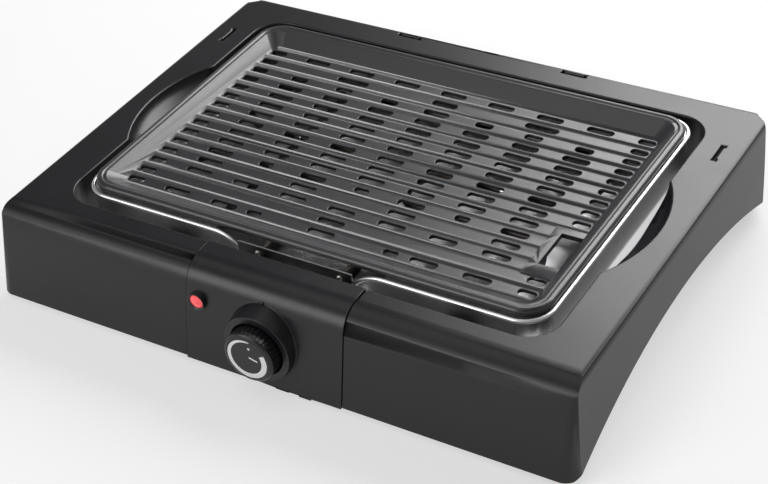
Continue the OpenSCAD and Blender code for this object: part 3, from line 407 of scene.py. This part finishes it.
def round_off(bm, width, segments, pick, least=28):
    """Rounds the sharp edges that pick accepts by their two ends."""
    sharp = radians(least)
    edges = [e for e in bm.edges if len(e.link_faces) == 2 and e.calc_face_angle(0) > sharp
             and pick(e.verts[0].co, e.verts[1].co)]
    if not edges:
        raise RuntimeError("no edge to round off")
    bmesh.ops.bevel(bm, geom=edges, offset=width, offset_type="OFFSET", segments=segments, profile=0.5,
                    affect="EDGES", clamp_overlap=False, material=-1)


def piece(bm, name, node, smooth=35):
    """Makes the mesh a finished piece that stands for a CAD node."""
    mesh = bpy.data.meshes.new(name)
    bm.to_mesh(mesh)
    bm.free()
    mesh.polygons.foreach_set("use_smooth", [True] * len(mesh.polygons))
    mesh.set_sharp_from_angle(angle=radians(smooth))
    obj = bpy.data.objects.new(name, mesh)
    bpy.context.collection.objects.link(obj)
    even = obj.modifiers.new("Even normals", "WEIGHTED_NORMAL")
    even.keep_sharp = True
    mesh.materials.clear()
    mesh.materials.append(finish_of(SLOT_OF[node]))
    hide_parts(node)
    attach(obj, BODY_OF[node])
    return obj


class GRILL_OT_housing(bpy.types.Operator):
    """Housing with rounded edges around the hole, the recesses and the bay"""
    bl_idname = "grill.housing"
    bl_label = "Housing"

    def execute(self, context):
        shape = context.scene.grill_shape
        bm = welded("housing")
        top = DECK - 0.02 * MM

        def on_deck(a, b):
            return a.z > top and b.z > top
        round_off(bm, shape.deck_edge, 3, on_deck)
        piece(bm, "housing_shell", "housing")
        paint("foot_screws")
        return {"FINISHED"}


class GRILL_OT_feet(bpy.types.Operator):
    """Four rubber feet with rounded lower edges"""
    bl_idname = "grill.feet"
    bl_label = "Feet"

    def execute(self, context):
        for end in ("front_left", "front_right", "rear_left", "rear_right"):
            bm = welded("foot_" + end)
            round_off(bm, 0.7 * MM, 3, lambda a, b: max(a.z, b.z) < 0.5 * MM)
            piece(bm, "rubber_foot_" + end, "foot_" + end)
        return {"FINISHED"}


def fill_corners(bm, floor, radius):
    """Adds a smooth fill in each upright inner corner of the plate, from its floor to its rim."""
    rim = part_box("grill_plate")[1]
    low_x, low_y = rim.x - 17.4 * MM, rim.y - TRAY_MIDDLE - 21.9 * MM
    rise = rim.z - floor - 0.9 * MM
    turns, levels = 10, 5
    for sx, sy in ((1, 1), (-1, 1), (-1, -1), (1, -1)):
        rows = []
        for level in range(levels + 1):
            up = level / levels
            corner_x = low_x + 11 * MM * up * rise / (9.8 * MM)
            corner_y = low_y + 15.5 * MM * up * rise / (9.8 * MM)
            bend = radius + 4.6 * MM * up
            row = []
            for turn in range(turns + 1):
                angle = radians(90 * turn / turns)
                x = corner_x - bend + bend * cos(angle) + 0.25 * MM
                y = corner_y - bend + bend * sin(angle) + 0.25 * MM
                row.append(bm.verts.new((sx * x, TRAY_MIDDLE + sy * y, floor - 0.2 * MM + (rise + 0.2 * MM) * up)))
            rows.append(row)
        peaks = [bm.verts.new((sx * (low_x + 11 * MM * level / levels * rise / (9.8 * MM) + 0.6 * MM),
                               TRAY_MIDDLE + sy * (low_y + 15.5 * MM * level / levels * rise / (9.8 * MM) + 0.6 * MM),
                               rows[level][0].co.z)) for level in range(levels + 1)]
        faces = []
        for level in range(levels):
            for turn in range(turns):
                faces.append((rows[level][turn], rows[level][turn + 1], rows[level + 1][turn + 1], rows[level + 1][turn]))
            faces.append((rows[level][0], rows[level + 1][0], peaks[level + 1], peaks[level]))
            faces.append((peaks[level], peaks[level + 1], rows[level + 1][-1], rows[level][-1]))
        for end in (0, levels):
            for turn in range(turns):
                faces.append((peaks[end], rows[end][turn], rows[end][turn + 1]))
        made = [bm.faces.new(face) for face in faces]
        bmesh.ops.recalc_face_normals(bm, faces=made)


class GRILL_OT_plate(bpy.types.Operator):
    """Grill plate with rounded inner corners, ridges and drain slots"""
    bl_idname = "grill.plate"
    bl_label = "Grill plate"

    def execute(self, context):
        shape = context.scene.grill_shape
        floor = DECK - 3 * MM

        def off_land(point):
            """Whether a point is away from the raised land around the filling window."""
            return point.x < 147 * MM or abs(point.y - TRAY_MIDDLE + 51 * MM) > 32 * MM

        def around_slots(a, b):
            flat = max(a.z, b.z) < floor + 0.1 * MM and min(a.z, b.z) > floor - 0.1 * MM
            return flat and (a - b).length < 30 * MM and max(abs(a.x), abs(b.x)) < 171.2 * MM and off_land(a) and off_land(b)
        bm = welded("grill_plate", off_land)
        round_off(bm, shape.plate_edge, 2, around_slots)
        fill_corners(bm, floor, shape.plate_corner)
        piece(bm, "coated_plate", "grill_plate")
        return {"FINISHED"}


class GRILL_OT_tray(bpy.types.Operator):
    """Drip tray of bright drawn sheet"""
    bl_idname = "grill.tray"
    bl_label = "Drip tray"

    def execute(self, context):
        piece(welded("drip_tray"), "steel_tray", "drip_tray")
        return {"FINISHED"}


class GRILL_OT_element(bpy.types.Operator):
    """Heating rod with its seals, pins, clips, rail and brackets"""
    bl_idname = "grill.element"
    bl_label = "Heating element"

    def execute(self, context):
        paint("heating_element", "element_seals", "element_pins", "heater_bracket", "bracket_rivets", "element_rail",
              "element_supports", "element_clips", "bracket_screws")
        return {"FINISHED"}


class GRILL_OT_control(bpy.types.Operator):
    """Cover of the control unit and what is screwed to it"""
    bl_idname = "grill.control"
    bl_label = "Control unit"

    def execute(self, context):
        bm = welded("control_cover")
        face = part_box("control_cover")

        def outside(a, b):
            seam = min(abs(a.x), abs(b.x)) > face[1].x - 0.05 * MM
            collar = max(a.y, b.y) < face[0].y + 16 * MM and max(abs(a.x), abs(b.x)) < 32 * MM
            return seam or collar
        round_off(bm, context.scene.grill_shape.seam_edge, 3, outside)
        piece(bm, "control_shell", "control_cover")
        paint("control_back_cover", "cover_screws", "cord_gland")
        return {"FINISHED"}


class GRILL_OT_knob(bpy.types.Operator):
    """Knob with its print and its spindle"""
    bl_idname = "grill.knob"
    bl_label = "Knob"

    def execute(self, context):
        bm = welded("knob")
        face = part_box("knob")[0].y

        def skirt(a, b):
            return max(a.y, b.y) > face + 0.6 * MM and (a - b).length > 0.6 * MM
        round_off(bm, context.scene.grill_shape.knob_edge, 2, skirt)
        piece(bm, "grip_knob", "knob")
        paint("knob_scale", "thermostat_spindle")
        return {"FINISHED"}


class GRILL_OT_pilot(bpy.types.Operator):
    """Pilot light: bezel, red lens, lamp and clip"""
    bl_idname = "grill.pilot"
    bl_label = "Pilot light"

    def execute(self, context):
        paint("pilot_bezel", "pilot_lens", "pilot_lamp", "pilot_clip")
        return {"FINISHED"}


class GRILL_OT_electrics(bpy.types.Operator):
    """Thermostat, switch, terminals and wires inside the control unit"""
    bl_idname = "grill.electrics"
    bl_label = "Electrics"

    def execute(self, context):
        paint("thermostat_body", "thermostat_bracket", "thermostat_screws", "safety_switch", "switch_plunger",
              "terminal_block", "terminal_screws", "thermal_fuse", "earth_tag", "wire_live", "wire_neutral", "wire_link")
        return {"FINISHED"}


def soft_lamp(name, place, aim, width, depth, power, colour=(1, 1, 1)):
    """Rectangular lamp at place that shines towards aim."""
    light = bpy.data.lights.new(name, "AREA")
    light.shape, light.size, light.size_y = "RECTANGLE", width, depth
    light.energy, light.color = power, colour
    lamp = bpy.data.objects.new(name, light)
    bpy.context.collection.objects.link(lamp)
    lamp.location = place
    lamp.rotation_euler = (Vector(aim) - Vector(place)).to_track_quat("-Z", "Y").to_euler()
    return lamp


def floor_finish(colour):
    """Pale floor that shows white to the camera and keeps the shadow of the grill."""
    f = Finish("pale floor", Roughness=0.9, Specular_IOR_Level=0.1)
    mottle = f.noise(0.2, 3, 0.5)
    f.wear(Base_Color=f.mix(mottle * 0.3, colour, shade(colour, 0.98)))
    path = f.tree.nodes.new("ShaderNodeLightPath")
    seen = Value(f, path.outputs["Is Camera Ray"])
    mirrored = Value(f, path.outputs["Is Glossy Ray"])
    through = Value(f, path.outputs["Is Transmission Ray"])
    white = f.add("ShaderNodeEmission", {}, {"Color": (1, 1, 1), "Strength": 1.0})
    shown = f.add("ShaderNodeMixShader", {}, {0: (seen + mirrored + through) * 0.55, 1: Value(f, f.surface.outputs[0]),
                                              2: white})
    f.tree.links.new(shown.socket, f.tree.nodes["Material Output"].inputs["Surface"])
    return f.material


def white_world(strength):
    """Even light from all sides, white where the camera or a mirror sees it."""
    world = bpy.data.worlds.new("studio")
    bpy.context.scene.world = world
    world.use_nodes = True
    tree = world.node_tree
    sky = tree.nodes["Background"]
    sky.inputs["Color"].default_value = (1, 1, 1, 1)
    sky.inputs["Strength"].default_value = strength
    shown = tree.nodes.new("ShaderNodeBackground")
    shown.inputs["Color"].default_value = (1, 1, 1, 1)
    shown.inputs["Strength"].default_value = 1.0
    path = tree.nodes.new("ShaderNodeLightPath")
    mix = tree.nodes.new("ShaderNodeMixShader")
    place = tree.nodes.new("ShaderNodeTexCoord")
    height = tree.nodes.new("ShaderNodeSeparateXYZ")
    tree.links.new(place.outputs["Generated"], height.inputs[0])

    def math(operation, *values):
        node = tree.nodes.new("ShaderNodeMath")
        node.operation, node.use_clamp = operation, True
        for socket, value in zip(node.inputs, values):
            if isinstance(value, float):
                socket.default_value = value
            else:
                tree.links.new(value, socket)
        return node.outputs[0]
    # mirrors see the white wall, which fades into a dimmer ceiling
    wall = math("MULTIPLY", math("SUBTRACT", 0.3, height.outputs["Z"]), 5.0)
    mirrored = math("ADD", path.outputs["Is Glossy Ray"], path.outputs["Is Transmission Ray"])
    shown_to = math("ADD", path.outputs["Is Camera Ray"], math("MULTIPLY", mirrored, wall))
    tree.links.new(shown_to, mix.inputs[0])
    tree.links.new(sky.outputs[0], mix.inputs[1])
    tree.links.new(shown.outputs[0], mix.inputs[2])
    tree.links.new(mix.outputs[0], tree.nodes["World Output"].inputs["Surface"])


class GRILL_OT_stage(bpy.types.Operator):
    """Floor, soft lamps and the camera at the photograph's angle"""
    bl_idname = "grill.stage"
    bl_label = "Stage"

    def execute(self, context):
        scene = context.scene
        studio = scene.grill_stage
        scene.view_settings.view_transform = "Standard"
        bm = bmesh.new()
        bmesh.ops.create_grid(bm, x_segments=1, y_segments=1, size=6)
        mesh = bpy.data.meshes.new("floor")
        bm.to_mesh(mesh)
        bm.free()
        mesh.materials.append(floor_finish(tuple(studio.floor_colour)))
        floor = bpy.data.objects.new("floor", mesh)
        context.collection.objects.link(floor)
        white_world(studio.world_light)
        soft_lamp("rear softbox", (0.2, 1.4, 1.15), (0, 0, 0.05), 1.7, 0.9, studio.lamp_power)
        soft_lamp("front softbox", (-0.75, -1.5, 0.95), (0, 0, 0.05), 1.2, 0.75, studio.lamp_power * 0.34)
        soft_lamp("top softbox", (-0.5, -0.3, 1.9), (0, 0, 0.05), 1.3, 1.2, studio.lamp_power * 0.12)
        camera = bpy.data.cameras.new("camera")
        camera.lens, camera.sensor_width, camera.clip_start = studio.focal_length, 36, 0.05
        viewer = bpy.data.objects.new("camera", camera)
        context.collection.objects.link(viewer)
        viewer.location = (0.61305, TRAY_MIDDLE - 0.92433, DECK + 0.75213)
        viewer.rotation_euler = (radians(53.0552), radians(4.6737), radians(30.6086))
        scene.camera = viewer
        return {"FINISHED"}


class GRILL_PT_panel(bpy.types.Panel):
    """Settings and build steps of the grill"""
    bl_label = "Table grill"
    bl_idname = "GRILL_PT_panel"
    bl_space_type = "VIEW_3D"
    bl_region_type = "UI"
    bl_category = "Grill"

    def draw(self, context):
        for group in (context.scene.grill_shape, context.scene.grill_finish, context.scene.grill_stage):
            box = self.layout.box()
            for key in group.bl_rna.properties.keys():
                if key not in ("rna_type", "name"):
                    box.prop(group, key)
        for step in STEPS:
            self.layout.operator(step.bl_idname)


SETTINGS = {"grill_shape": GrillShape, "grill_finish": GrillFinish, "grill_stage": GrillStage}
STEPS = (GRILL_OT_housing, GRILL_OT_feet, GRILL_OT_plate, GRILL_OT_tray, GRILL_OT_element, GRILL_OT_control,
         GRILL_OT_knob, GRILL_OT_pilot, GRILL_OT_electrics, GRILL_OT_stage)


def register():
    for cls in (*SETTINGS.values(), *STEPS, GRILL_PT_panel):
        bpy.utils.register_class(cls)
    for key, cls in SETTINGS.items():
        setattr(bpy.types.Scene, key, bpy.props.PointerProperty(type=cls))


def unregister():
    for key in SETTINGS:
        delattr(bpy.types.Scene, key)
    for cls in reversed((*SETTINGS.values(), *STEPS, GRILL_PT_panel)):
        bpy.utils.unregister_class(cls)


def main():
    register()
    bpy.ops.grill.housing()
    bpy.ops.grill.feet()
    bpy.ops.grill.plate()
    bpy.ops.grill.tray()
    bpy.ops.grill.element()
    bpy.ops.grill.control()
    bpy.ops.grill.knob()
    bpy.ops.grill.pilot()
    bpy.ops.grill.electrics()
    bpy.ops.grill.stage()
    bpy.context.view_layer.update()


if __name__ == "__main__":
    main()
